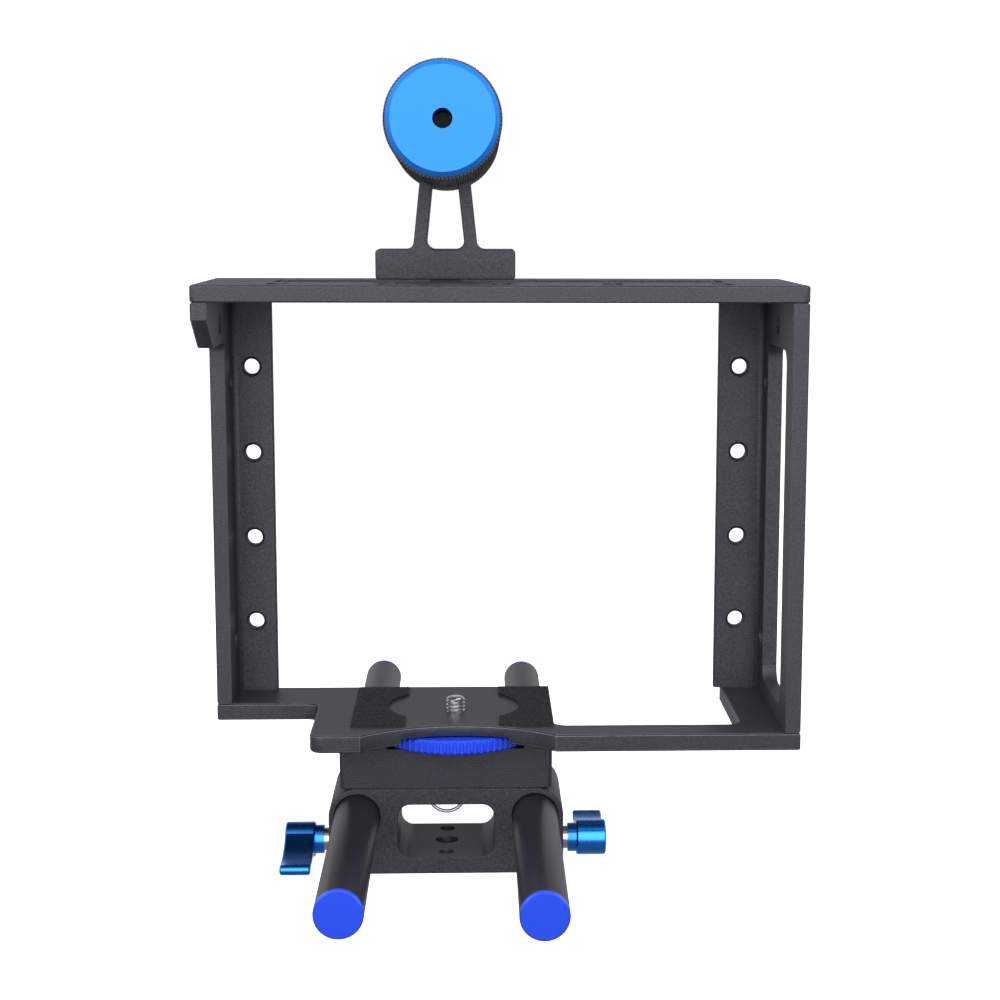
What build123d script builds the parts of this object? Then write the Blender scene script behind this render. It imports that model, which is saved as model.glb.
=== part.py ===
from build123d import *
from math import cos, radians, sin
import os

os.makedirs("parts", exist_ok=True)

# A camera cage on a rod support. Origin: where the axis of the camera screw meets
# the top face of the base plate. +X to the right, +Y to the rear, +Z up. Millimetres.

# ---------------------------------------------------------------- driving sizes
# Cage
inner_width = 185.4            # between the two side frames
inner_height = 140.0           # between the base plate and the top plate
cage_depth = 68.0              # front to rear
side_thickness = 5.1
top_thickness = 5.5
base_thickness = 5.8
top_overhang = 0.2             # of the top plate beyond each side frame
edge_break = 0.5               # chamfer on the plates' outer edges
small_break = 0.4              # chamfer on the blocks' edges
plate_corner = 2.0             # of the top plate, seen from above
screw_from_left = 77.3         # camera screw axis to the left side frame's inner face
screw_from_front = 33.0        # camera screw axis to the cage's front plane

# Side frames and their rear flanges
flange_thickness = 3.8
left_flange_width = 14.0
right_flange_width = 16.0
root_radius = 2.0
left_hole_inset = 6.7          # flange hole axis to the side frame's inner face
right_hole_inset = 8.5
flange_hole_pitch = 30.0
flange_hole_count = 4
accessory_hole_radius = 2.65   # tapped for a 1/4-20 screw
accessory_chamfer = 1.0
front_hole_step = 34.0         # side hole behind the front plane
front_hole_drop = 8.5          # the same hole below the top plate
rear_hole_inset = 9.0          # side holes ahead of the rear plane
rear_hole_heights = (110.0, 20.0)
left_column_depth = 24.0       # lower part of the left side, ahead of the rear plane
left_nose_height = 15.3        # of the arm under the top plate, at its rear
left_nose_tip = 5.5            # of the same arm at the front plane
left_nose_slope = 15.7         # depth over which the arm tapers
left_nose_root = 3.0           # radius where the arm meets the column
window_front_bar = 13.7        # solid part of the right side in front of its window
window_rear_bar = 13.8
window_bottom_bar = 5.5
window_top_bar = 16.0
window_corner = 5.0

# Top plate openings
top_opening_length = 149.4
top_opening_front = 28.0       # behind the front plane
top_opening_rear = 51.0
top_rib_width = 10.0
top_opening_corner = 3.0
slot_pitch = 35.9
slot_count = 5
slot_front = 5.5
slot_rear = 24.5
slot_width = 6.4               # clears a 1/4-20 screw
end_hole_inset = 10.0          # from the side frame's inner face

# Base plate outline
tongue_left = 47.3             # from the camera screw axis
tongue_right = 33.0
tab_width = 16.5               # solid front tab left of the finger arc
arc_depth = 13.1
front_bar_depth = 12.7
right_foot_width = 13.4        # under the right side frame, inside its inner face
base_corner = 4.5

# Handle
handle_offset = -3.0           # handle centre, from the camera screw axis
bar_width = 47.5
bar_height = 10.2
bar_depth = 16.0
bar_round = 1.2
post_root_radius = 2.8         # where each leg meets the bar
leg_spread_low = 22.0
leg_spread_high = 17.5
leg_thickness = 4.4
leg_height = 21.5              # of the open part between the legs
leg_sink = 1.0                 # the legs' outline starts inside the bar
bridge_height = 8.0
handle_bolt_pitch = 35.9
handle_bolt_head = 5.8
handle_bolt_reach = 7.5        # into the bar
handle_bolt_cover = 1.8        # metal left above the bolt holes
grip_screw_steps = (4.0, 12.0)  # behind the post's front face
grip_screw_reach = 6.0         # into the core
grip_radius = 18.8
grip_length = 88.0
grip_overhang = 1.6            # grip front, behind the cage's front plane
grip_axis_lift = 20.0          # grip axis at its front, above the top of the legs' gap
grip_tilt = 2.0                # degrees, down to the rear
grip_core_radius = 14.0
cap_radius = 18.0
cap_thickness = 3.0
cap_bevel = 1.5
cap_spigot = 5.0
core_thread = 12.0             # depth of the 1/4-20 thread in each end of the core

# Riser, rod clamp and rods
block_offset = -3.2            # block centre, from the camera screw axis
block_front = -13.0            # block front face, from the camera screw axis
block_depth = 38.0
riser_width = 71.5
riser_height = 17.9
riser_corner = 1.5
rod_radius = 7.5
rod_wall = 1.6
rod_length = 300.0             # with both caps
rod_spacing = 60.0
rod_running_gap = 0.06
clamp_wall = 2.1
rod_drop = 9.6                 # rod axis below the top of the clamp block
clamp_height = 29.8
clamp_window_width = 32.5
clamp_window_top = 5.7         # web above the window
clamp_window_floor = 5.9
clamp_window_corner = 4.2
clamp_foot_round = 1.0         # radius of the block's lower edges
slit_width = 1.6
rod_nose_left = 75.3           # rod front ends, ahead of the cage's front plane
rod_nose_right = 78.5
rod_cap_thickness = 2.0
rod_cap_spigot = 8.0

# Clamp knobs
knob_axis_drop = 23.3          # below the top of the clamp block
knob_radius = 6.05
knob_length = 10.2
knob_collar_radius = 4.95
knob_collar_length = 3.0
lever_length = 27.0
lever_bead = 1.75              # radius of the bead along the lever's tip
lever_neck = 1.35              # half the lever's thickness at its middle
lever_root_share = 0.69        # of the knob's radius, where the lever springs from it
stud_radius = 3.0
stud_shoulder_radius = 3.9
stud_reach = 21.0              # into the block, from its side face
stud_in_knob = 8.0
stud_point = 0.6               # chamfer at the stud's inner end
left_knob_gap = 2.9
right_knob_gap = 2.3
left_knob_turn = 6.0           # degrees, lever tip down

# Camera screw and its wheel
thread_radius = 3.175          # 1/4-20
screw_stand = 5.1              # above the base plate
screw_dome = 1.2               # radius round the screw's tip
wheel_radius = 26.0
wheel_thickness = 4.8
wheel_top_drop = 4.1           # wheel top below the base plate's top face
wheel_rib_count = 72
wheel_rib_depth = 0.75
wheel_bevel_depth = 1.2        # radially, at both rims
wheel_bevel_height = 1.1
wheel_side_gap = 0.5
wheel_under_gap = 1.1
relief_depth = 2.3
relief_width = 36.0
pad_thickness = 1.0
pad_width = 18.1
pad_length = 53.0
pad_front = 12.0               # behind the front plane
pad_ring_radius = 22.4         # round gap between the pads
pad_ring_offset = -0.7         # centre of the gap, from the camera screw axis
pad_inset = 0.2                # from the tongue's right edge
pad_left_inset = 12.7          # from the tongue's left edge

# D-ring screw
d_head_radius = 5.3
d_head_thickness = 3.0
d_ring_radius = 6.2
d_wire_radius = 0.6
d_screw_reach = 14.0

# Riser fasteners
riser_screw_length = 16.0
dowel_radius = 1.5
dowel_length = 8.0
dowel_step = 20.0              # from the block's centre line
d_screw_bore = 12.0            # up into the riser
stud_bore_depth = 22.0         # from the block's side face
large_tripod_radius = 4.0      # for a 3/8-16 thread
small_tripod_radius = 2.6      # for a 1/4-20 thread
tripod_hole_step = 13.0
rod_cap_bevel = 0.5
screw_head_radius = 5.0
screw_head_height = 2.0
d_ring_pin = 2.0               # into each side of the screw's head

# Fasteners and clearances
top_screw_steps = (9.0, 49.0)  # behind the front plane
top_screw_length = 14.0
base_screw_inset = 6.0         # from each frame's ends
base_screw_length = 10.0
tapped_depth = 9.0             # in the frames' top ends
base_tapped_depth = 5.0        # in their lower ends
riser_left_inset = 7.8         # riser screws, from the riser's left end
riser_right_inset = 4.3
riser_end_inset = 4.6          # from its front and rear faces
m25 = 1.25                     # shank and head radii of the flat-head screws
m25_head = 2.35
m3 = 1.5
m3_head = 2.8
m4 = 2.0
m4_head = 3.8
turning_gap = 0.06             # radial, round a turning screw
face_gap = 0.2                 # between a turning part and what it faces
fit_gap = 0.1                  # round a fixed piece in its pocket
screw_gap = 0.2                # round a fixed screw's shank
socket_share = 0.75            # of the shank's radius, for the hexagon socket

# ---------------------------------------------------------------- derived places
x_left = -screw_from_left
x_right = x_left + inner_width
y_front = -screw_from_front
y_rear = y_front + cage_depth
x_mid = (x_left + x_right) / 2
y_mid = (y_front + y_rear) / 2
left_front_setback = cage_depth - left_column_depth
z_top = inner_height + top_thickness
y_flange = y_rear - flange_thickness
z_riser = -base_thickness
z_clamp = z_riser - riser_height
z_bottom = z_clamp - clamp_height
z_rod = z_clamp - rod_drop
z_knob = z_clamp - knob_axis_drop
y_block = block_front + block_depth / 2
clamp_half = rod_spacing / 2 + rod_radius + clamp_wall
wheel_bottom = -wheel_top_drop - wheel_thickness

top_screw_points = [
    (x, y_front + d)
    for x in (x_left - side_thickness / 2, x_right + side_thickness / 2)
    for d in top_screw_steps
]
base_screw_points = [
    (x_left - side_thickness / 2, y_front + left_front_setback + base_screw_inset),
    (x_left - side_thickness / 2, y_rear - base_screw_inset),
    (x_right + side_thickness / 2, y_front + base_screw_inset),
    (x_right + side_thickness / 2, y_rear - base_screw_inset),
]
riser_screw_points = [
    (x, y)
    for x in (
        block_offset - riser_width / 2 + riser_left_inset,
        block_offset + riser_width / 2 - riser_right_inset,
    )
    for y in (block_front + riser_end_inset, block_front + block_depth - riser_end_inset)
]
flange_hole_heights = [
    inner_height / 2 + flange_hole_pitch * (i - (flange_hole_count - 1) / 2)
    for i in range(flange_hole_count)
]
side_hole_places = [(y_front + front_hole_step, inner_height - front_hole_drop)] + [
    (y_rear - rear_hole_inset, z) for z in rear_hole_heights
]
dowel_points = [(block_offset + side * dowel_step, y_block) for side in (-1, 1)]
handle_bolt_points = [
    (handle_offset + s * handle_bolt_pitch / 2, y_rear - bar_depth / 2) for s in (-1, 1)
]


def finish_piece(builder, name):
    """Label one finished piece and write it out."""
    builder.part.label = name
    export_step(builder.part, f"parts/{name}.step")


def flat_head_screws(plane, points, shank, head, length):
    """Separate flat-head screws: heads level with the plane, shanks along its -Z."""
    head_depth = head - shank
    with BuildPart(plane) as screws:
        with Locations(*points):
            Cone(shank, head, head_depth, align=(Align.CENTER, Align.CENTER, Align.MAX))
            Cylinder(shank, length, align=(Align.CENTER, Align.CENTER, Align.MAX))
        with BuildSketch(plane):
            with Locations(*points):
                RegularPolygon(shank * socket_share, 6)
        extrude(amount=-head_depth, mode=Mode.SUBTRACT)
    return screws


# ---------------------------------------------------------------- top plate
top_length = inner_width + 2 * (side_thickness + top_overhang)
with BuildPart() as top_plate:
    with BuildSketch(Plane.XY.offset(inner_height)):
        with Locations((x_mid, y_mid)):
            RectangleRounded(top_length, cage_depth, plate_corner)
    extrude(amount=top_thickness)
    chamfer(top_plate.faces().filter_by(Axis.Z).edges(), edge_break)
    # The long opening, split by the rib under the handle, and the slots before it.
    opening_y = y_front + (top_opening_front + top_opening_rear) / 2
    with BuildSketch(Plane.XY.offset(z_top)) as openings:
        with Locations((x_mid, opening_y)):
            RectangleRounded(
                top_opening_length, top_opening_rear - top_opening_front, top_opening_corner
            )
        with Locations((handle_offset, opening_y)):
            Rectangle(top_rib_width, cage_depth, mode=Mode.SUBTRACT)
    extrude(amount=-top_thickness, mode=Mode.SUBTRACT)
    with BuildSketch(Plane.XY.offset(z_top)) as slots:
        with Locations((x_mid, y_front + (slot_front + slot_rear) / 2)):
            with GridLocations(slot_pitch, 0, slot_count, 1):
                SlotOverall(slot_rear - slot_front, slot_width, rotation=90)
    extrude(amount=-top_thickness, mode=Mode.SUBTRACT)
    with Locations(*[(x, y, z_top) for x, y in top_screw_points]):
        CounterSinkHole(m25 + screw_gap, m25_head, depth=top_thickness)
    with Locations(
        (x_left + end_hole_inset, y_mid, z_top), (x_right - end_hole_inset, y_mid, z_top)
    ):
        Hole(accessory_hole_radius, depth=top_thickness)
    with Locations(
        *[Location((x, y, inner_height), (180, 0, 0)) for x, y in handle_bolt_points]
    ):
        CounterSinkHole(thread_radius + screw_gap, handle_bolt_head, depth=top_thickness)
finish_piece(top_plate, "top_plate")

top_screws = flat_head_screws(
    Plane.XY.offset(z_top), top_screw_points, m25, m25_head, top_screw_length
)
finish_piece(top_screws, "top_plate_screws")

# ---------------------------------------------------------------- side frames
with BuildPart() as left_side_frame:
    # Web: a rear column, and a tapered arm that runs forward under the top plate.
    with BuildSketch(Plane.YZ.offset(x_left)) as left_web:
        with BuildLine():
            Polyline(
                (y_rear, 0),
                (y_rear, inner_height),
                (y_front, inner_height),
                (y_front, inner_height - left_nose_tip),
                (y_front + left_nose_slope, inner_height - left_nose_height),
                (y_front + left_front_setback, inner_height - left_nose_height),
                (y_front + left_front_setback, 0),
                close=True,
            )
        make_face()
        inside = left_web.vertices().sort_by_distance(
            (y_front + left_front_setback, inner_height - left_nose_height)
        )[0]
        fillet(inside, left_nose_root)
    extrude(amount=-side_thickness)
    with BuildSketch(Plane.XY):
        with Locations((x_left, y_flange)):
            Rectangle(left_flange_width, flange_thickness, align=(Align.MIN, Align.MIN))
    extrude(amount=inner_height)
    root = left_side_frame.edges().filter_by(Axis.Z).sort_by_distance(
        (x_left, y_flange, inner_height / 2)
    )[0]
    fillet(root, root_radius)
    chamfer(left_side_frame.faces().sort_by(Axis.X)[0].edges(), edge_break)
    chamfer(left_side_frame.faces().sort_by(Axis.X)[-1].edges().filter_by(Axis.Z), edge_break)
    with Locations(
        *[Location((x_left + left_hole_inset, y_flange, z), (90, 0, 0)) for z in flange_hole_heights]
    ):
        CounterSinkHole(
            accessory_hole_radius, accessory_hole_radius + accessory_chamfer, depth=flange_thickness
        )
    with Locations(
        *[Location((x_left, y, z), (0, 90, 0)) for y, z in side_hole_places]
    ):
        CounterSinkHole(
            accessory_hole_radius, accessory_hole_radius + accessory_chamfer, depth=side_thickness
        )
    with Locations(*[(x, y, inner_height) for x, y in top_screw_points[:2]]):
        Hole(m25, depth=tapped_depth)
    with Locations(*[Location((x, y, 0), (180, 0, 0)) for x, y in base_screw_points[:2]]):
        Hole(m25, depth=base_tapped_depth)
finish_piece(left_side_frame, "left_side_frame")

with BuildPart() as right_side_frame:
    # Web: full depth, with one tall window.
    with BuildSketch(Plane.YZ.offset(x_right)):
        with Locations((y_mid, inner_height / 2)):
            Rectangle(cage_depth, inner_height)
        with Locations((
            y_mid + (window_front_bar - window_rear_bar) / 2,
            inner_height / 2 + (window_bottom_bar - window_top_bar) / 2,
        )):
            RectangleRounded(
                cage_depth - window_front_bar - window_rear_bar,
                inner_height - window_bottom_bar - window_top_bar,
                window_corner,
                mode=Mode.SUBTRACT,
            )
    extrude(amount=side_thickness)
    with BuildSketch(Plane.XY):
        with Locations((x_right, y_flange)):
            Rectangle(right_flange_width, flange_thickness, align=(Align.MAX, Align.MIN))
    extrude(amount=inner_height)
    root = right_side_frame.edges().filter_by(Axis.Z).sort_by_distance(
        (x_right, y_flange, inner_height / 2)
    )[0]
    fillet(root, root_radius)
    chamfer(right_side_frame.faces().sort_by(Axis.X)[-1].edges(), edge_break)
    chamfer(right_side_frame.faces().sort_by(Axis.X)[0].edges().filter_by(Axis.Z), edge_break)
    with Locations(
        *[Location((x_right - right_hole_inset, y_flange, z), (90, 0, 0)) for z in flange_hole_heights]
    ):
        CounterSinkHole(
            accessory_hole_radius, accessory_hole_radius + accessory_chamfer, depth=flange_thickness
        )
    with Locations(
        *[Location((x_right, y, z), (0, -90, 0)) for y, z in side_hole_places]
    ):
        CounterSinkHole(
            accessory_hole_radius, accessory_hole_radius + accessory_chamfer, depth=side_thickness
        )
    with Locations(*[(x, y, inner_height) for x, y in top_screw_points[2:]]):
        Hole(m25, depth=tapped_depth)
    with Locations(*[Location((x, y, 0), (180, 0, 0)) for x, y in base_screw_points[2:]]):
        Hole(m25, depth=base_tapped_depth)
finish_piece(right_side_frame, "right_side_frame")

# ---------------------------------------------------------------- base plate
arc_left = -tongue_left + tab_width
arc_half = (tongue_right - arc_left) / 2
x_arc = (tongue_right + arc_left) / 2
with BuildPart() as base_plate:
    with BuildSketch(Plane.XY.offset(-base_thickness)) as outline:
        with BuildLine():
            Polyline(
                (arc_left, y_front),
                (-tongue_left, y_front),
                (-tongue_left, y_front + left_front_setback),
                (x_left - side_thickness, y_front + left_front_setback),
                (x_left - side_thickness, y_rear),
                (tongue_right, y_rear),
                (tongue_right, y_front + front_bar_depth),
                (x_right - right_foot_width, y_front + front_bar_depth),
                (x_right - right_foot_width, y_rear),
                (x_right + side_thickness, y_rear),
                (x_right + side_thickness, y_front),
                (tongue_right, y_front),
            )
            ThreePointArc((tongue_right, y_front), (x_arc, y_front + arc_depth), (arc_left, y_front))
        make_face()
        rounded = [
            outline.vertices().sort_by_distance(p)[0]
            for p in (
                (-tongue_left, y_front),
                (-tongue_left, y_front + left_front_setback),
                (tongue_right, y_front + front_bar_depth),
                (x_right - right_foot_width, y_front + front_bar_depth),
            )
        ]
        fillet(rounded, base_corner)
    extrude(amount=base_thickness)
    chamfer(base_plate.faces().filter_by(Axis.Z).edges(), edge_break)
    # Underside relief for the wheel, open to the finger arc.
    with BuildSketch(Plane.XY.offset(-base_thickness)):
        Circle(wheel_radius + wheel_side_gap)
        Rectangle(relief_width, screw_from_front, align=(Align.CENTER, Align.MAX))
    extrude(amount=relief_depth, mode=Mode.SUBTRACT)
    Hole(thread_radius + turning_gap)
    with Locations(*[(x, y, 0) for x, y in riser_screw_points]):
        CounterSinkHole(m3 + screw_gap, m3_head, depth=base_thickness)
    with Locations(
        *[Location((x, y, -base_thickness), (180, 0, 0)) for x, y in base_screw_points]
    ):
        CounterSinkHole(m25 + screw_gap, m25_head, depth=base_thickness)
finish_piece(base_plate, "base_plate")

base_screws = flat_head_screws(
    Plane((0, 0, -base_thickness), x_dir=(1, 0, 0), z_dir=(0, 0, -1)),
    [(x, -y) for x, y in base_screw_points],
    m25,
    m25_head,
    base_screw_length,
)
finish_piece(base_screws, "base_plate_screws")

# ---------------------------------------------------------------- pads
for name, edge in (
    ("pad_left", -tongue_left + pad_left_inset),
    ("pad_right", tongue_right - pad_inset - pad_width),
):
    with BuildPart() as pad:
        with BuildSketch():
            with Locations((edge, y_front + pad_front)):
                Rectangle(pad_width, pad_length, align=(Align.MIN, Align.MIN))
            with Locations((pad_ring_offset, y_front + pad_front + pad_length / 2)):
                Circle(pad_ring_radius, mode=Mode.SUBTRACT)
        extrude(amount=pad_thickness)
    finish_piece(pad, name)

# ---------------------------------------------------------------- handle
z_bar = z_top + bar_height
z_legs = z_bar + leg_height
z_bridge = z_legs + bridge_height
y_bar = y_rear - bar_depth


def half_spread(z):
    """Half the outer width over the legs at height z."""
    share = (z - z_bar) / leg_height
    return (leg_spread_low + (leg_spread_high - leg_spread_low) * share) / 2


grip_frame = Plane(
    (handle_offset, y_front + grip_overhang, z_legs + grip_axis_lift),
    x_dir=(1, 0, 0),
    z_dir=(0, cos(radians(grip_tilt)), -sin(radians(grip_tilt))),
)

with BuildPart() as handle_post:
    with BuildSketch(Plane.XZ.offset(-y_rear)) as post:
        with Locations((handle_offset, z_top + bar_height / 2)):
            RectangleRounded(bar_width, bar_height, bar_round)
        with BuildLine():
            Polyline(
                *[
                    (handle_offset + s * half_spread(z), z)
                    for s, z in ((-1, z_bar - leg_sink), (-1, z_bridge), (1, z_bridge), (1, z_bar - leg_sink))
                ],
                close=True,
            )
        make_face()
        with BuildLine():
            Polyline(
                *[
                    (handle_offset + s * (half_spread(z) - leg_thickness), z)
                    for s, z in ((-1, z_bar), (-1, z_legs), (1, z_legs), (1, z_bar))
                ],
                close=True,
            )
        make_face(mode=Mode.SUBTRACT)
        feet = [
            post.vertices().sort_by_distance((handle_offset + s * w, z_bar))[0]
            for s in (-1, 1)
            for w in (half_spread(z_bar), half_spread(z_bar) - leg_thickness)
        ]
        fillet(feet, post_root_radius)
    extrude(amount=bar_depth)
    chamfer(handle_post.faces().filter_by(Axis.Y).edges(), small_break)
    with Locations(
        *[Location((x, y, z_top), (180, 0, 0)) for x, y in handle_bolt_points]
    ):
        Hole(thread_radius, depth=bar_height - handle_bolt_cover)
    with Locations(
        *[Location((handle_offset, y_bar + d, z_legs), (180, 0, 0)) for d in grip_screw_steps]
    ):
        CounterSinkHole(m4 + screw_gap, m4_head, depth=bridge_height)
finish_piece(handle_post, "handle_post")

handle_bolts = flat_head_screws(
    Plane((0, 0, inner_height), x_dir=(1, 0, 0), z_dir=(0, 0, -1)),
    [(x, -y) for x, y in handle_bolt_points],
    thread_radius,
    handle_bolt_head,
    top_thickness + handle_bolt_reach,
)
finish_piece(handle_bolts, "handle_bolts")

grip_screws = flat_head_screws(
    Plane((0, 0, z_legs), x_dir=(1, 0, 0), z_dir=(0, 0, -1)),
    [(handle_offset, -(y_bar + d)) for d in grip_screw_steps],
    m4,
    m4_head,
    bridge_height + grip_screw_reach,
)
finish_piece(grip_screws, "grip_screws")

# The grip is bored and pocketed from below for the head of the post.
core_length = grip_length - 2 * (cap_thickness + cap_spigot)
sleeve_length = grip_length - 2 * cap_thickness
pocket_width = 2 * half_spread(z_legs) + 2 * fit_gap
pocket_depth = bar_depth + 2 * fit_gap

with BuildPart() as grip_core:
    with BuildSketch(grip_frame.offset(cap_thickness + cap_spigot)):
        Circle(grip_core_radius)
    extrude(amount=core_length)
    for start in (0, core_length - core_thread):
        with BuildSketch(grip_frame.offset(cap_thickness + cap_spigot + start)):
            Circle(thread_radius)
        extrude(amount=core_thread, mode=Mode.SUBTRACT)
    with BuildSketch(Plane.XY.offset(z_bridge)):
        with Locations((handle_offset, y_rear - bar_depth / 2)):
            Rectangle(pocket_width, pocket_depth)
    extrude(amount=-grip_radius, mode=Mode.SUBTRACT)
    with Locations(*[(handle_offset, y_bar + d, z_bridge) for d in grip_screw_steps]):
        Cylinder(
            m4, grip_screw_reach, align=(Align.CENTER, Align.CENTER, Align.MIN),
            mode=Mode.SUBTRACT,
        )
finish_piece(grip_core, "grip_core")

with BuildPart() as grip_sleeve:
    with BuildSketch(grip_frame.offset(cap_thickness)):
        Circle(grip_radius)
        Circle(grip_core_radius, mode=Mode.SUBTRACT)
    extrude(amount=sleeve_length)
    with BuildSketch(Plane.XY.offset(z_bridge)):
        with Locations((handle_offset, y_rear - bar_depth / 2)):
            Rectangle(pocket_width, pocket_depth)
    extrude(amount=-grip_radius, mode=Mode.SUBTRACT)
finish_piece(grip_sleeve, "grip_sleeve")


def end_cap(plane, radius, thickness, bevel, spigot_radius, spigot, hole):
    """A round end cap: its outer face on the plane, its spigot along the plane's +Z."""
    with BuildPart() as cap:
        with BuildSketch(plane):
            Circle(radius)
        extrude(amount=thickness)
        rim = cap.faces().sort_by_distance(plane.origin)[0].edges()
        chamfer(rim, bevel)
        with BuildSketch(plane.offset(thickness)):
            Circle(spigot_radius)
        extrude(amount=spigot)
        if hole:
            with BuildSketch(plane):
                Circle(hole)
            extrude(amount=thickness + spigot, mode=Mode.SUBTRACT)
    return cap


for name, plane in (
    ("grip_front_cap", grip_frame),
    ("grip_rear_cap", Plane(
        grip_frame.offset(grip_length).origin, x_dir=(-1, 0, 0), z_dir=-grip_frame.z_dir
    )),
):
    cap = end_cap(
        plane, cap_radius, cap_thickness, cap_bevel, grip_core_radius, cap_spigot, thread_radius
    )
    finish_piece(cap, name)

# ---------------------------------------------------------------- riser block
wheel_pocket = wheel_radius + wheel_side_gap
with BuildPart() as riser_block:
    with BuildSketch(Plane.XY.offset(z_clamp)):
        with Locations((block_offset, y_block)):
            RectangleRounded(riser_width, block_depth, riser_corner)
    extrude(amount=riser_height)
    chamfer(riser_block.faces().sort_by(Axis.Z)[0].edges(), small_break)
    # Wheel pocket, open at the front.
    with BuildSketch(Plane.XY.offset(z_riser)):
        Circle(wheel_pocket)
    extrude(amount=wheel_bottom - wheel_under_gap - z_riser, mode=Mode.SUBTRACT)
    with Locations(*[(x, y, z_riser) for x, y in riser_screw_points]):
        Hole(m3, depth=riser_screw_length - base_thickness)
    with Locations(Location((block_offset, y_block, z_clamp), (180, 0, 0))):
        Hole(thread_radius + turning_gap, depth=d_screw_bore)
    with Locations(*[Location((x, y, z_clamp), (180, 0, 0)) for x, y in dowel_points]):
        Hole(dowel_radius, depth=dowel_length / 2)
finish_piece(riser_block, "riser_block")

riser_screws = flat_head_screws(Plane.XY, riser_screw_points, m3, m3_head, riser_screw_length)
finish_piece(riser_screws, "riser_screws")

with BuildPart() as dowels:
    with BuildSketch(Plane.XY.offset(z_clamp - dowel_length / 2)):
        with Locations(*dowel_points):
            Circle(dowel_radius)
    extrude(amount=dowel_length)
finish_piece(dowels, "locating_dowels")

# ---------------------------------------------------------------- rod clamp block
rod_centres = [block_offset - rod_spacing / 2, block_offset + rod_spacing / 2]
bore_radius = rod_radius + rod_running_gap
window_low = z_bottom + clamp_window_floor
window_high = z_clamp - clamp_window_top
with BuildPart() as rod_clamp_block:
    with BuildSketch(Plane.XZ.offset(-block_front)) as section:
        with Locations((block_offset, z_clamp)):
            Rectangle(2 * clamp_half, clamp_height, align=(Align.CENTER, Align.MAX))
        shoulders = section.vertices().group_by(Axis.Y)[-1]
        fillet(shoulders, rod_drop)
        feet = section.vertices().group_by(Axis.Y)[0]
        fillet(feet, clamp_foot_round)
        with Locations((block_offset, (window_low + window_high) / 2)):
            RectangleRounded(
                clamp_window_width, window_high - window_low, clamp_window_corner,
                mode=Mode.SUBTRACT,
            )
        with Locations(*[(x, z_rod) for x in rod_centres]):
            Circle(bore_radius, mode=Mode.SUBTRACT)
        with Locations(*[(x, z_rod) for x in rod_centres]):
            Rectangle(
                slit_width, z_rod - z_bottom, align=(Align.CENTER, Align.MAX), mode=Mode.SUBTRACT
            )
    extrude(amount=-block_depth)
    chamfer(rod_clamp_block.faces().filter_by(Axis.Y).edges(), small_break)
    # Clamp screws: clear through each outer jaw, threaded beyond the slit.
    for s, x in ((-1, block_offset - clamp_half), (1, block_offset + clamp_half)):
        with Locations(Location((x, y_block, z_knob), (0, s * 90, 0))):
            Cylinder(
                stud_radius + turning_gap, 2 * stud_bore_depth, mode=Mode.SUBTRACT
            )
    # Web hole for the D-ring screw, and tripod threads in the floor.
    with Locations((block_offset, y_block, z_clamp)):
        Hole(thread_radius + turning_gap, depth=clamp_window_top)
    with Locations((block_offset, y_block, window_low)):
        Hole(large_tripod_radius, depth=clamp_window_floor)
    with Locations(
        *[(block_offset, y_block + s * tripod_hole_step, window_low) for s in (-1, 1)]
    ):
        Hole(small_tripod_radius, depth=clamp_window_floor)
    with Locations(*[(x, y, z_clamp) for x, y in dowel_points]):
        Hole(dowel_radius, depth=dowel_length / 2)
finish_piece(rod_clamp_block, "rod_clamp_block")

# ---------------------------------------------------------------- rods and caps
for side, x, nose in (
    ("left", rod_centres[0], rod_nose_left),
    ("right", rod_centres[1], rod_nose_right),
):
    front = Plane((x, y_front - nose, z_rod), x_dir=(1, 0, 0), z_dir=(0, 1, 0))
    back = Plane((x, y_front - nose + rod_length, z_rod), x_dir=(-1, 0, 0), z_dir=(0, -1, 0))
    with BuildPart() as rod:
        with BuildSketch(front.offset(rod_cap_thickness)):
            Circle(rod_radius)
            Circle(rod_radius - rod_wall, mode=Mode.SUBTRACT)
        extrude(amount=rod_length - 2 * rod_cap_thickness)
    finish_piece(rod, f"rod_{side}")
    for end, plane in (("front", front), ("rear", back)):
        cap = end_cap(
            plane, rod_radius, rod_cap_thickness, rod_cap_bevel,
            rod_radius - rod_wall, rod_cap_spigot, 0,
        )
        finish_piece(cap, f"rod_{side}_{end}_cap")

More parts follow.
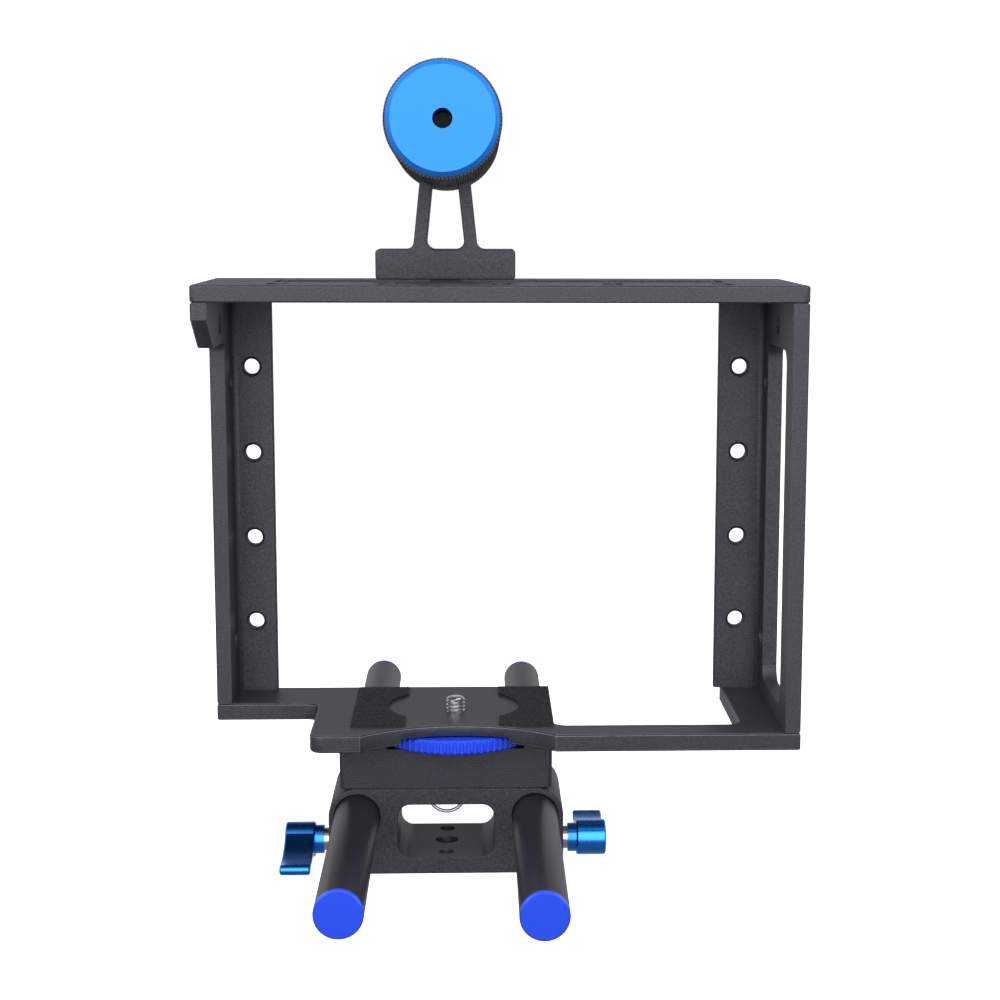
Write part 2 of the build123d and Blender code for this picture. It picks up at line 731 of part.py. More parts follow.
# ---------------------------------------------------------------- clamp knobs
bead_centre = lever_length - lever_bead
for side, s, gap, turn, reach_dir in (
    ("left", -1, left_knob_gap, left_knob_turn, -1),
    ("right", 1, right_knob_gap, 0.0, 1),
):
    face = block_offset + s * clamp_half
    # Section plane of the lever: local +X runs along the lever, local +Z outwards.
    lever_dir = Vector(
        0, reach_dir * cos(radians(turn)), -sin(radians(turn))
    )
    hub = Plane(
        (face + s * (gap + knob_collar_length), y_block, z_knob), x_dir=lever_dir, z_dir=(s, 0, 0)
    )
    neck = knob_radius * lever_root_share
    with BuildPart() as knob:
        with BuildSketch(hub):
            Circle(knob_radius)
            with BuildLine():
                ThreePointArc((neck, neck), (lever_length / 2, lever_neck), (bead_centre, lever_bead))
                ThreePointArc(
                    (bead_centre, lever_bead), (lever_length, 0), (bead_centre, -lever_bead)
                )
                ThreePointArc(
                    (bead_centre, -lever_bead), (lever_length / 2, -lever_neck), (neck, -neck)
                )
                Line((neck, -neck), (neck, neck))
            make_face()
        extrude(amount=knob_length)
        chamfer(knob.faces().filter_by(Axis.X).edges(), edge_break)
        with BuildSketch(hub):
            Circle(knob_collar_radius)
        extrude(amount=-knob_collar_length)
        with BuildSketch(hub.offset(-knob_collar_length)):
            Circle(stud_radius)
        extrude(amount=stud_in_knob, mode=Mode.SUBTRACT)
    finish_piece(knob, f"clamp_knob_{side}")
    with BuildPart() as stud:
        with BuildSketch(hub.offset(-knob_collar_length)):
            Circle(stud_shoulder_radius)
        extrude(amount=-(gap - face_gap))
        with BuildSketch(hub.offset(stud_in_knob - knob_collar_length)):
            Circle(stud_radius)
        extrude(amount=-(stud_in_knob + gap + stud_reach))
        inner_end = stud.faces().filter_by(Axis.X).sort_by_distance((block_offset, y_block, z_knob))[0]
        chamfer(inner_end.edges(), stud_point)
    finish_piece(stud, f"clamp_stud_{side}")

# ---------------------------------------------------------------- camera screw and wheel
with BuildPart() as thumb_wheel:
    with BuildSketch(Plane.XY.offset(wheel_bottom)):
        Circle(wheel_radius)
        with PolarLocations(wheel_radius, wheel_rib_count):
            Circle(wheel_rib_depth, mode=Mode.SUBTRACT)
    extrude(amount=wheel_thickness)
    # Bevelled rims above and below the ribs.
    with BuildSketch(Plane.XZ) as bevel:
        for z, up in ((-wheel_top_drop, -1), (wheel_bottom, 1)):
            with BuildLine():
                Polyline(
                    (wheel_radius - wheel_bevel_depth, z),
                    (wheel_radius + wheel_bevel_depth, z),
                    (wheel_radius + wheel_bevel_depth, z + 2 * up * wheel_bevel_height),
                    close=True,
                )
            make_face()
    revolve(axis=Axis.Z, mode=Mode.SUBTRACT)
    with BuildSketch(Plane.XY.offset(-wheel_top_drop)):
        Circle(thread_radius)
    extrude(amount=-wheel_thickness, mode=Mode.SUBTRACT)
    with BuildSketch(Plane.XY.offset(wheel_bottom)):
        Circle(screw_head_radius)
    extrude(amount=screw_head_height, mode=Mode.SUBTRACT)
finish_piece(thumb_wheel, "thumb_wheel")

with BuildPart() as camera_screw:
    with BuildSketch(Plane.XY.offset(wheel_bottom)):
        Circle(thread_radius)
    extrude(amount=screw_stand - wheel_bottom)
    fillet(camera_screw.faces().sort_by(Axis.Z)[-1].edges(), screw_dome)
    with BuildSketch(Plane.XY.offset(wheel_bottom)):
        Circle(screw_head_radius)
    extrude(amount=screw_head_height)
finish_piece(camera_screw, "camera_screw")

# ---------------------------------------------------------------- D-ring screw
z_web = z_clamp - clamp_window_top
z_pivot = z_web - face_gap - d_head_thickness / 2
with BuildPart() as d_ring_screw:
    with BuildSketch(Plane.XY.offset(z_web - face_gap)):
        with Locations((block_offset, y_block)):
            Circle(d_head_radius)
    extrude(amount=-d_head_thickness)
    chamfer(d_ring_screw.edges(), small_break)
    with BuildSketch(Plane.XY.offset(z_web - face_gap)):
        with Locations((block_offset, y_block)):
            Circle(thread_radius)
    extrude(amount=d_screw_reach)
    with Locations(Location((block_offset, y_block, z_pivot), (0, 90, 0))):
        Cylinder(d_wire_radius + turning_gap, 2 * d_head_radius, mode=Mode.SUBTRACT)
finish_piece(d_ring_screw, "d_ring_screw")

with BuildPart() as d_ring:
    centre = Vector(block_offset, y_block, z_pivot)
    with BuildLine() as bow:
        ThreePointArc(
            centre + Vector(-d_ring_radius, 0, 0),
            centre + Vector(0, 0, -d_ring_radius),
            centre + Vector(d_ring_radius, 0, 0),
        )
    with BuildSketch(Plane(centre - Vector(d_ring_radius, 0, 0), z_dir=(0, 0, -1))):
        Circle(d_wire_radius)
    sweep(path=bow.line)
    for s in (-1, 1):
        with Locations(centre + Vector(s * d_ring_radius, 0, 0)):
            Sphere(d_wire_radius)
        with BuildSketch(Plane(centre + Vector(s * d_ring_radius, 0, 0), z_dir=(-s, 0, 0))):
            Circle(d_wire_radius)
        extrude(amount=d_ring_pin)
finish_piece(d_ring, "d_ring")
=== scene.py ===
import math

import bmesh
import bpy
from mathutils import Euler, Matrix, Vector


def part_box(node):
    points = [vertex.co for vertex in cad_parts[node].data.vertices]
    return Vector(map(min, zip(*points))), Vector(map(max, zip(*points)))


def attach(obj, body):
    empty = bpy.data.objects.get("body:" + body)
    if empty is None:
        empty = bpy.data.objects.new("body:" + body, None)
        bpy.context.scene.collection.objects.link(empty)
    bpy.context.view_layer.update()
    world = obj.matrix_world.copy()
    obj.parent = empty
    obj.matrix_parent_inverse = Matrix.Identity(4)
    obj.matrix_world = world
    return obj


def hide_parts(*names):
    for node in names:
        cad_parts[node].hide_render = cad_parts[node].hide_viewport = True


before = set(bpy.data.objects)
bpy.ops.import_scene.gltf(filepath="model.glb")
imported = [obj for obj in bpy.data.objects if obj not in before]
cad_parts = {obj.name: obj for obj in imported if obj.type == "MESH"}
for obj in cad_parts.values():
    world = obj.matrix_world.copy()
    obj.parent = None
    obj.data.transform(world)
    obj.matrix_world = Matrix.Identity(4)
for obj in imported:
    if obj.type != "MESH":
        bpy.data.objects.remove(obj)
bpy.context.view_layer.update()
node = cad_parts

# ------------------------------------------------------------------ studio
# A product table: a white floor that the rig's foot stands on, a white room that is dim
# overhead, so that bright metal keeps a dark upper edge, and four soft lamps.
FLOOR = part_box("rod_clamp_block")[0].z

camera_data = bpy.data.cameras.new("camera")
camera_data.lens = 71.93
camera_data.sensor_width = 36.0
camera_data.shift_x = -0.0494
camera_data.shift_y = 0.0191
camera_data.clip_start = 0.01
camera_data.clip_end = 20.0
camera = bpy.data.objects.new("camera", camera_data)
camera.location = (0.00696, -0.66504, 0.16909)
heading = Euler((math.radians(90.0 - 8.801), 0.0, math.radians(-2.144))).to_matrix()
camera.rotation_euler = (heading @ Matrix.Rotation(math.radians(0.172), 3, "Z")).to_euler()
bpy.context.scene.collection.objects.link(camera)
bpy.context.scene.camera = camera

ROOM_DIM_AXIS = (0.0, 0.45, 0.9)   # towards the dim patch, overhead and a little behind
ROOM_TONES = ((0.0, 0.22), (0.42, 0.34), (0.70, 0.62), (0.83, 0.72), (0.90, 0.14), (1.0, 0.10))

world = bpy.data.worlds.new("room")
bpy.context.scene.world = world
world.use_nodes = True
room = world.node_tree
way = room.nodes.new("ShaderNodeTexCoord")
tilt = room.nodes.new("ShaderNodeVectorMath")
tilt.operation = "DOT_PRODUCT"
tilt.inputs[1].default_value = ROOM_DIM_AXIS
share = room.nodes.new("ShaderNodeMapRange")
share.inputs["From Min"].default_value = -1.0
share.inputs["From Max"].default_value = 1.0
walls = room.nodes.new("ShaderNodeValToRGB")
while len(walls.color_ramp.elements) < len(ROOM_TONES):
    walls.color_ramp.elements.new(0.5)
for stop, (place, tone) in zip(walls.color_ramp.elements, ROOM_TONES):
    stop.position = place
    stop.color = (tone, tone, tone * 1.03, 1.0)
seen = room.nodes.new("ShaderNodeLightPath")
backdrop = room.nodes.new("ShaderNodeMix")
backdrop.data_type = "RGBA"
backdrop.inputs["B"].default_value = (1.0, 1.0, 1.0, 1.0)
room.links.new(way.outputs["Generated"], tilt.inputs[0])
room.links.new(tilt.outputs["Value"], share.inputs["Value"])
room.links.new(share.outputs["Result"], walls.inputs["Fac"])
room.links.new(seen.outputs["Is Camera Ray"], backdrop.inputs["Factor"])
room.links.new(walls.outputs["Color"], backdrop.inputs["A"])
room.links.new(backdrop.outputs["Result"], room.nodes["Background"].inputs["Color"])
room.nodes["Background"].inputs["Strength"].default_value = 1.05
bpy.context.scene.view_settings.view_transform = "Standard"


def lamp(name, place, aim, size, power, mirrored):
    """A soft rectangular lamp of that size in metres, aimed at a point."""
    light = bpy.data.lights.new(name, "AREA")
    light.shape = "RECTANGLE"
    light.size, light.size_y = size
    light.energy = power
    holder = bpy.data.objects.new(name, light)
    holder.location = place
    holder.rotation_euler = (Vector(aim) - Vector(place)).to_track_quat("-Z", "Y").to_euler()
    holder.visible_glossy = mirrored
    holder.visible_camera = False
    bpy.context.scene.collection.objects.link(holder)


lamp("lamp_front", (0.0, -1.25, 0.45), (0.0, 0.0, 0.05), (2.0, 1.3), 22.0, True)
lamp("lamp_top", (0.0, -0.35, 1.1), (0.0, 0.0, 0.05), (0.9, 0.7), 11.0, False)
lamp("lamp_left", (-0.9, -0.5, 0.45), (0.0, 0.0, 0.05), (0.4, 0.9), 3.0, True)
lamp("lamp_right", (0.9, -0.4, 0.4), (0.0, 0.0, 0.05), (0.4, 0.9), 2.0, True)


def flat_sheet(name, corners):
    """A single rectangle that belongs to the studio."""
    mesh = bpy.data.meshes.new(name)
    mesh.from_pydata(corners, [], [range(4)])
    sheet = bpy.data.objects.new(name, mesh)
    bpy.context.scene.collection.objects.link(sheet)
    return sheet


def studio_paint(name, shade):
    """Matt paint with a very slight mottle."""
    paint = bpy.data.materials.new(name)
    paint.use_nodes = True
    tree = paint.node_tree
    skin = tree.nodes["Principled BSDF"]
    mottle = tree.nodes.new("ShaderNodeTexNoise")
    mottle.inputs["Scale"].default_value = 3.0
    tones = tree.nodes.new("ShaderNodeValToRGB")
    tones.color_ramp.elements[0].color = (*[shade * 0.98] * 3, 1.0)
    tones.color_ramp.elements[1].color = (*[shade] * 3, 1.0)
    tree.links.new(mottle.outputs["Fac"], tones.inputs["Fac"])
    tree.links.new(tones.outputs["Color"], skin.inputs["Base Color"])
    skin.inputs["Roughness"].default_value = 0.9
    skin.inputs["Emission Color"].default_value = (1.0, 1.0, 1.0, 1.0)
    skin.inputs["Emission Strength"].default_value = 0.95
    return paint


floor = flat_sheet("floor", [(-6, -6, FLOOR), (6, -6, FLOOR), (6, 6, FLOOR), (-6, 6, FLOOR)])
floor.data.materials.append(studio_paint("floor_paint", 0.8))
floor.visible_glossy = False
floor.visible_diffuse = False

# ------------------------------------------------------------------ cage plates and blocks
# The top plate, side frames, base plate, handle post, riser and clamp block are milled from
# aluminium, blasted with fine grit and anodised black, with small rounded edges that carry a
# lighter painted highlight.


def anodised(name, dark, light, rough, grain, grain_depth, cutter_marks=0.0):
    """Blasted and anodised aluminium: a fine grain, and level cutter marks on its edges."""
    skin_paint = bpy.data.materials.new(name)
    skin_paint.use_nodes = True
    tree = skin_paint.node_tree
    skin = tree.nodes["Principled BSDF"]
    place = tree.nodes.new("ShaderNodeTexCoord")
    fine = tree.nodes.new("ShaderNodeTexNoise")
    fine.inputs["Scale"].default_value = 1.0 / grain
    fine.inputs["Detail"].default_value = 2.0
    broad = tree.nodes.new("ShaderNodeTexNoise")
    broad.inputs["Scale"].default_value = 35.0
    broad.inputs["Detail"].default_value = 2.0
    tree.links.new(place.outputs["Object"], fine.inputs["Vector"])
    tree.links.new(place.outputs["Object"], broad.inputs["Vector"])
    both = tree.nodes.new("ShaderNodeMix")
    both.inputs["Factor"].default_value = 0.15
    tree.links.new(fine.outputs["Fac"], both.inputs["A"])
    tree.links.new(broad.outputs["Fac"], both.inputs["B"])
    tones = tree.nodes.new("ShaderNodeValToRGB")
    tones.color_ramp.elements[0].position = 0.32
    tones.color_ramp.elements[0].color = (*dark, 1.0)
    tones.color_ramp.elements[1].position = 0.68
    tones.color_ramp.elements[1].color = (*light, 1.0)
    tree.links.new(both.outputs["Result"], tones.inputs["Fac"])
    tree.links.new(tones.outputs["Color"], skin.inputs["Base Color"])
    gloss = tree.nodes.new("ShaderNodeMapRange")
    gloss.inputs["To Min"].default_value = rough - 0.06
    gloss.inputs["To Max"].default_value = rough + 0.06
    tree.links.new(fine.outputs["Fac"], gloss.inputs["Value"])
    tree.links.new(gloss.outputs["Result"], skin.inputs["Roughness"])
    bump = tree.nodes.new("ShaderNodeBump")
    bump.inputs["Strength"].default_value = 0.6
    bump.inputs["Distance"].default_value = grain_depth
    tree.links.new(fine.outputs["Fac"], bump.inputs["Height"])
    marks = tree.nodes.new("ShaderNodeTexWave")
    marks.wave_type = "BANDS"
    marks.bands_direction = "Z"
    marks.inputs["Scale"].default_value = 330.0
    marks.inputs["Distortion"].default_value = 2.5
    cut = tree.nodes.new("ShaderNodeBump")
    cut.inputs["Strength"].default_value = cutter_marks
    cut.inputs["Distance"].default_value = 0.00008
    tree.links.new(place.outputs["Object"], marks.inputs["Vector"])
    tree.links.new(marks.outputs["Fac"], cut.inputs["Height"])
    tree.links.new(bump.outputs["Normal"], cut.inputs["Normal"])
    tree.links.new(cut.outputs["Normal"], skin.inputs["Normal"])
    skin.inputs["Metallic"].default_value = 0.3
    return skin_paint


def dress(names, finish, edge=0.0, wear_and_edge_highlight=None):
    """Give CAD nodes a finish, and round their sharp edges, painting a lighter highlight on the
    rounding.
    """
    for name in names:
        piece = node[name]
        piece.data.materials.clear()
        piece.data.materials.append(finish)
        # The second slot holds a painted highlight, a lighter tone on the rounded edges.
        if wear_and_edge_highlight:
            piece.data.materials.append(wear_and_edge_highlight)
        if edge:
            joined = piece.modifiers.new("joined", "WELD")
            joined.merge_threshold = 1e-6
            edge_round = piece.modifiers.new("rounded_edges", "BEVEL")
            edge_round.width = edge
            edge_round.segments = 2
            edge_round.limit_method = "ANGLE"
            edge_round.angle_limit = math.radians(28.0)
            edge_round.harden_normals = True
            edge_round.material = 1 if wear_and_edge_highlight else -1


black_plate = anodised(
    "black_anodised", (0.014, 0.014, 0.019), (0.046, 0.046, 0.058), 0.48, 0.00055, 0.00012
)
milled_plate = anodised(
    "black_anodised_milled", (0.015, 0.015, 0.020), (0.036, 0.036, 0.047), 0.46, 0.00045, 0.00006,
    cutter_marks=0.16,
)
# Painted highlight: a much lighter anodised tone on the bevelled edges, standing in for the light they
# catch.
edge_highlight_paint = anodised(
    "black_anodised_edge_highlight", (0.16, 0.16, 0.18), (0.30, 0.30, 0.33), 0.36, 0.0012, 0.00003
)
dress(
    ("top_plate", "left_side_frame", "right_side_frame", "handle_post", "rod_clamp_block", "grip_core"),
    black_plate,
    edge=0.00028,
    wear_and_edge_highlight=edge_highlight_paint,
)
dress(("base_plate", "riser_block"), milled_plate, edge=0.00028, wear_and_edge_highlight=edge_highlight_paint)

# ------------------------------------------------------------------ plate screws
# Small flat-head machine screws of blackened steel close the plates and hold the riser,
# the handle post and the grip. Their heads stand level with the face they are sunk in.


def blackened_steel(name):
    """Oiled black oxide: dark and metallic, with lighter specks of wear."""
    skin_paint = bpy.data.materials.new(name)
    skin_paint.use_nodes = True
    tree = skin_paint.node_tree
    skin = tree.nodes["Principled BSDF"]
    place = tree.nodes.new("ShaderNodeTexCoord")
    wear_and_edge_highlight = tree.nodes.new("ShaderNodeTexNoise")
    wear_and_edge_highlight.inputs["Scale"].default_value = 900.0
    wear_and_edge_highlight.inputs["Detail"].default_value = 4.0
    tones = tree.nodes.new("ShaderNodeValToRGB")
    tones.color_ramp.elements[0].position = 0.35
    tones.color_ramp.elements[0].color = (0.012, 0.012, 0.014, 1.0)
    tones.color_ramp.elements[1].position = 0.75
    tones.color_ramp.elements[1].color = (0.075, 0.075, 0.085, 1.0)
    gloss = tree.nodes.new("ShaderNodeMapRange")
    gloss.inputs["To Min"].default_value = 0.24
    gloss.inputs["To Max"].default_value = 0.42
    tree.links.new(place.outputs["Object"], wear_and_edge_highlight.inputs["Vector"])
    tree.links.new(wear_and_edge_highlight.outputs["Fac"], tones.inputs["Fac"])
    tree.links.new(tones.outputs["Color"], skin.inputs["Base Color"])
    tree.links.new(wear_and_edge_highlight.outputs["Fac"], gloss.inputs["Value"])
    tree.links.new(gloss.outputs["Result"], skin.inputs["Roughness"])
    skin.inputs["Metallic"].default_value = 0.9
    return skin_paint


dress(
    ("top_plate_screws", "base_plate_screws", "handle_bolts", "grip_screws", "riser_screws"),
    blackened_steel("black_screw"),
)

# ------------------------------------------------------------------ grip
# A black sleeve with a cut diamond knurl over a turned core, closed at each end by a
# sky-blue cap with a threaded hole. It tilts a little down to the rear, and the head of
# the handle post stands in a pocket cut in its underside.
GRIP_RADIUS = 0.0188
GRIP_BORE = 0.014
KNURL_STARTS = 96
KNURL_DEPTH = 0.00075
KNURL_TOP = 0.2                # share of a diamond that is left flat
KNURL_STRETCH = 1.8            # length of a diamond over its width

sleeve_low, sleeve_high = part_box("grip_sleeve")
post_low, post_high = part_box("handle_post")
GRIP_TILT = math.radians(2.0)    # down to the rear
grip_way = Vector((0.0, math.cos(GRIP_TILT), -math.sin(GRIP_TILT)))
grip_middle = (sleeve_low + sleeve_high) / 2
grip_turn = grip_way.to_track_quat("Z", "Y").to_matrix().to_4x4()
sleeve_length = (
    (sleeve_high.y - sleeve_low.y - 2 * GRIP_RADIUS * math.sin(GRIP_TILT)) / math.cos(GRIP_TILT)
)


def knurled_sleeve(length):
    """A closed tube along Z, cut into flat-topped diamonds and one row too long at each end."""
    pitch = 2 * math.pi * GRIP_RADIUS / KNURL_STARTS * KNURL_STRETCH
    rows = 2 * round(length / pitch) + 2
    step = length / (rows - 2)
    mesh = bmesh.new()

    def on_sleeve(turn, height, depth):
        radius = GRIP_RADIUS - depth
        angle = 2 * math.pi * turn / KNURL_STARTS
        return mesh.verts.new(
            (radius * math.cos(angle), radius * math.sin(angle), height - length / 2 - step)
        )

    crossings = [
        [on_sleeve(i + 0.5 * (row % 2), row * step, KNURL_DEPTH) for i in range(KNURL_STARTS)]
        for row in range(rows + 1)
    ]
    for row in range(rows + 1):
        for i in range(KNURL_STARTS):
            turn = i + 0.5 * (row % 2)
            left, right = crossings[row][i], crossings[row][(i + 1) % KNURL_STARTS]
            other = (i + row % 2) % KNURL_STARTS
            centre = turn + 0.5
            below = crossings[row - 1][other] if row > 0 else None
            above = crossings[row + 1][other] if row < rows else None
            if below and above:
                corners = [left, below, right, above]
                flat = [
                    on_sleeve(centre + KNURL_TOP * a, (row + KNURL_TOP * b * 2) * step, 0.0)
                    for a, b in ((-0.5, 0), (0, -0.5), (0.5, 0), (0, 0.5))
                ]
                mesh.faces.new(flat)
                for k in range(4):
                    mesh.faces.new((corners[k], corners[(k + 1) % 4], flat[(k + 1) % 4], flat[k]))
            else:
                mesh.faces.new((left, right, above) if above else (left, below, right))
    for end, row in ((-1, 0), (1, rows)):
        ring = crossings[row]
        bore = [
            mesh.verts.new((v.co.x * GRIP_BORE / v.co.xy.length, v.co.y * GRIP_BORE / v.co.xy.length,
                            v.co.z))
            for v in ring
        ]
        crossings.append(bore)
        for i in range(KNURL_STARTS):
            j = (i + 1) % KNURL_STARTS
            mesh.faces.new((ring[i], bore[i], bore[j], ring[j])[::-end])
    low, high = crossings[-2:]
    shift = 0 if rows % 2 == 0 else 1
    for i in range(KNURL_STARTS):
        j = (i + 1) % KNURL_STARTS
        mesh.faces.new((low[i], high[i - shift], high[j - shift], low[j])[::-1])
    bmesh.ops.recalc_face_normals(mesh, faces=mesh.faces)
    return mesh


def new_piece(name, mesh, finish, body, slot, *replaced):
    """Put a finished bmesh in the scene as a piece that rides on a body."""
    data = bpy.data.meshes.new(name)
    mesh.to_mesh(data)
    mesh.free()
    piece = bpy.data.objects.new(name, data)
    bpy.context.scene.collection.objects.link(piece)
    data.materials.append(finish)
    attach(piece, body)
    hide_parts(*replaced)
    return piece


def cut_away(piece, cutter_mesh):
    """Take a closed shape out of a closed piece, and apply the cut."""
    data = bpy.data.meshes.new("cutter")
    cutter_mesh.to_mesh(data)
    cutter_mesh.free()
    cutter = bpy.data.objects.new("cutter", data)
    bpy.context.scene.collection.objects.link(cutter)
    cut = piece.modifiers.new("cut", "BOOLEAN")
    cut.operation = "DIFFERENCE"
    cut.solver = "EXACT"
    cut.object = cutter
    graph = bpy.context.evaluated_depsgraph_get()
    result = bpy.data.meshes.new_from_object(piece.evaluated_get(graph))
    piece.modifiers.clear()
    piece.data = result
    bpy.data.objects.remove(cutter)


def block(low, high):
    """A rectangular block between two corners."""
    mesh = bmesh.new()
    bmesh.ops.create_cube(mesh, size=1.0)
    size, middle = high - low, (low + high) / 2
    for corner in mesh.verts:
        corner.co = Vector([c * s for c, s in zip(corner.co, size)]) + middle
    return mesh


knurled_black = anodised(
    "knurled_black", (0.014, 0.014, 0.017), (0.034, 0.034, 0.040), 0.36, 0.0003, 0.00002
)
sleeve_mesh = knurled_sleeve(sleeve_length)
sleeve_mesh.transform(Matrix.Translation(grip_middle) @ grip_turn)
sleeve = new_piece("grip_knurl", sleeve_mesh, knurled_black, "cage", "knurled_black", "grip_sleeve")
for end in (-1, 1):
    saw = block(Vector((-0.03, -0.03, 0.0)), Vector((0.03, 0.03, 0.02)))
    saw.transform(Matrix.Translation((0, 0, end * (sleeve_length / 2 - 0.00002) - 0.01 * (1 - end))))
    saw.transform(Matrix.Translation(grip_middle) @ grip_turn)
    cut_away(sleeve, saw)
HEAD_HALF = 0.00885            # of the post's head, with the room round it
POCKET_ROOM = 0.0001
cut_away(
    sleeve,
    block(
        Vector((grip_middle.x - HEAD_HALF, post_low.y - POCKET_ROOM, post_high.z - 2 * GRIP_RADIUS)),
        Vector((grip_middle.x + HEAD_HALF, post_high.y + POCKET_ROOM, post_high.z)),
    ),
)


def turned_blue(name, colour, pale, rough, metal, coat, centre, axis):
    """Bright anodised aluminium with fine turning marks round an axis."""
    skin_paint = bpy.data.materials.new(name)
    skin_paint.use_nodes = True
    tree = skin_paint.node_tree
    skin = tree.nodes["Principled BSDF"]
    place = tree.nodes.new("ShaderNodeTexCoord")
    moved = tree.nodes.new("ShaderNodeMapping")
    moved.vector_type = "TEXTURE"
    moved.inputs["Location"].default_value = centre
    moved.inputs["Rotation"].default_value = Vector(axis).to_track_quat("Z", "Y").to_euler()
    marks = tree.nodes.new("ShaderNodeTexWave")
    marks.wave_type = "RINGS"
    marks.rings_direction = "Z"
    marks.inputs["Scale"].default_value = 700.0
    marks.inputs["Distortion"].default_value = 0.8
    marks.inputs["Detail"].default_value = 2.0
    speck = tree.nodes.new("ShaderNodeTexNoise")
    speck.inputs["Scale"].default_value = 2600.0
    speck.inputs["Detail"].default_value = 2.0
    tree.links.new(place.outputs["Object"], moved.inputs["Vector"])
    tree.links.new(moved.outputs["Vector"], marks.inputs["Vector"])
    tree.links.new(place.outputs["Object"], speck.inputs["Vector"])
    both = tree.nodes.new("ShaderNodeMix")
    both.inputs["Factor"].default_value = 0.5
    tree.links.new(marks.outputs["Fac"], both.inputs["A"])
    tree.links.new(speck.outputs["Fac"], both.inputs["B"])
    tones = tree.nodes.new("ShaderNodeValToRGB")
    tones.color_ramp.elements[0].position = 0.1
    tones.color_ramp.elements[0].color = (*colour, 1.0)
    tones.color_ramp.elements[1].position = 0.9
    tones.color_ramp.elements[1].color = (*pale, 1.0)
    tree.links.new(both.outputs["Result"], tones.inputs["Fac"])
    tree.links.new(tones.outputs["Color"], skin.inputs["Base Color"])
    gloss = tree.nodes.new("ShaderNodeMapRange")
    gloss.inputs["To Min"].default_value = rough - 0.02
    gloss.inputs["To Max"].default_value = rough + 0.03
    tree.links.new(speck.outputs["Fac"], gloss.inputs["Value"])
    tree.links.new(gloss.outputs["Result"], skin.inputs["Roughness"])
    bump = tree.nodes.new("ShaderNodeBump")
    bump.inputs["Strength"].default_value = 0.08
    bump.inputs["Distance"].default_value = 0.000006
    tree.links.new(marks.outputs["Fac"], bump.inputs["Height"])
    tree.links.new(bump.outputs["Normal"], skin.inputs["Normal"])
    skin.inputs["Metallic"].default_value = metal
    skin.inputs["Coat Weight"].default_value = coat
    skin.inputs["Coat Roughness"].default_value = 0.22
    return skin_paint


dress(
    ("grip_front_cap", "grip_rear_cap"),
    turned_blue(
        "sky_blue_anodised", (0.006, 0.175, 0.66), (0.012, 0.20, 0.74), 0.42, 0.45, 0.0,
        grip_middle, grip_way,
    ),
)

# ------------------------------------------------------------------ rods and their caps
# Two black anodised tubes, smooth drawn and slightly glossy, closed by blue turned caps.
rod_low, rod_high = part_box("rod_left")
ROD_HEIGHT = (rod_low.z + rod_high.z) / 2

dress(
    ("rod_left", "rod_right"),
    anodised("black_rod", (0.011, 0.011, 0.014), (0.019, 0.019, 0.024), 0.40, 0.0007, 0.00001),
)


def royal_blue(name, centre, axis):
    """The deep satin blue of the wheel and the rod ends."""
    return turned_blue(name, (0.012, 0.058, 0.70), (0.022, 0.085, 0.90), 0.34, 0.45, 0.12, centre, axis)


for side in ("left", "right"):
    low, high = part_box(f"rod_{side}")
    rod_centre = ((low.x + high.x) / 2, 0.0, ROD_HEIGHT)
    dress(
        (f"rod_{side}_front_cap", f"rod_{side}_rear_cap"),
        royal_blue(f"blue_rod_cap_{side}", rod_centre, (0, 1, 0)),
    )

# ------------------------------------------------------------------ clamp knobs
# Each is turned and milled from one piece with its lever, anodised blue, and fixed on a
# bright steel stud that crosses the clamp's slit.


def bright_steel(name, colour, rough):
    """Ground steel with a few fine scratches."""
    skin_paint = bpy.data.materials.new(name)
    skin_paint.use_nodes = True
    tree = skin_paint.node_tree
    skin = tree.nodes["Principled BSDF"]
    place = tree.nodes.new("ShaderNodeTexCoord")
    drawn = tree.nodes.new("ShaderNodeMapping")
    drawn.inputs["Scale"].default_value = (300.0, 300.0, 2500.0)
    scratches = tree.nodes.new("ShaderNodeTexNoise")
    scratches.inputs["Scale"].default_value = 1.0
    scratches.inputs["Detail"].default_value = 4.0
    tree.links.new(place.outputs["Object"], drawn.inputs["Vector"])
    tree.links.new(drawn.outputs["Vector"], scratches.inputs["Vector"])
    tones = tree.nodes.new("ShaderNodeValToRGB")
    tones.color_ramp.elements[0].position = 0.3
    tones.color_ramp.elements[0].color = (*[c * 0.82 for c in colour], 1.0)
    tones.color_ramp.elements[1].position = 0.7
    tones.color_ramp.elements[1].color = (*colour, 1.0)
    tree.links.new(scratches.outputs["Fac"], tones.inputs["Fac"])
    tree.links.new(tones.outputs["Color"], skin.inputs["Base Color"])
    gloss = tree.nodes.new("ShaderNodeMapRange")
    gloss.inputs["To Min"].default_value = rough * 0.7
    gloss.inputs["To Max"].default_value = rough * 1.4
    tree.links.new(scratches.outputs["Fac"], gloss.inputs["Value"])
    tree.links.new(gloss.outputs["Result"], skin.inputs["Roughness"])
    skin.inputs["Metallic"].default_value = 1.0
    return skin_paint


for side in ("left", "right"):
    low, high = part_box(f"clamp_stud_{side}")
    dress(
        (f"clamp_knob_{side}",),
        turned_blue(
            f"blue_knob_{side}", (0.005, 0.22, 0.84), (0.012, 0.27, 0.96), 0.27, 1.0, 0.6,
            (low + high) / 2, (1, 0, 0),
        ),
    )
steel = bright_steel("steel", (0.62, 0.63, 0.66), 0.24)
dress(("clamp_stud_left", "clamp_stud_right", "locating_dowels"), steel)

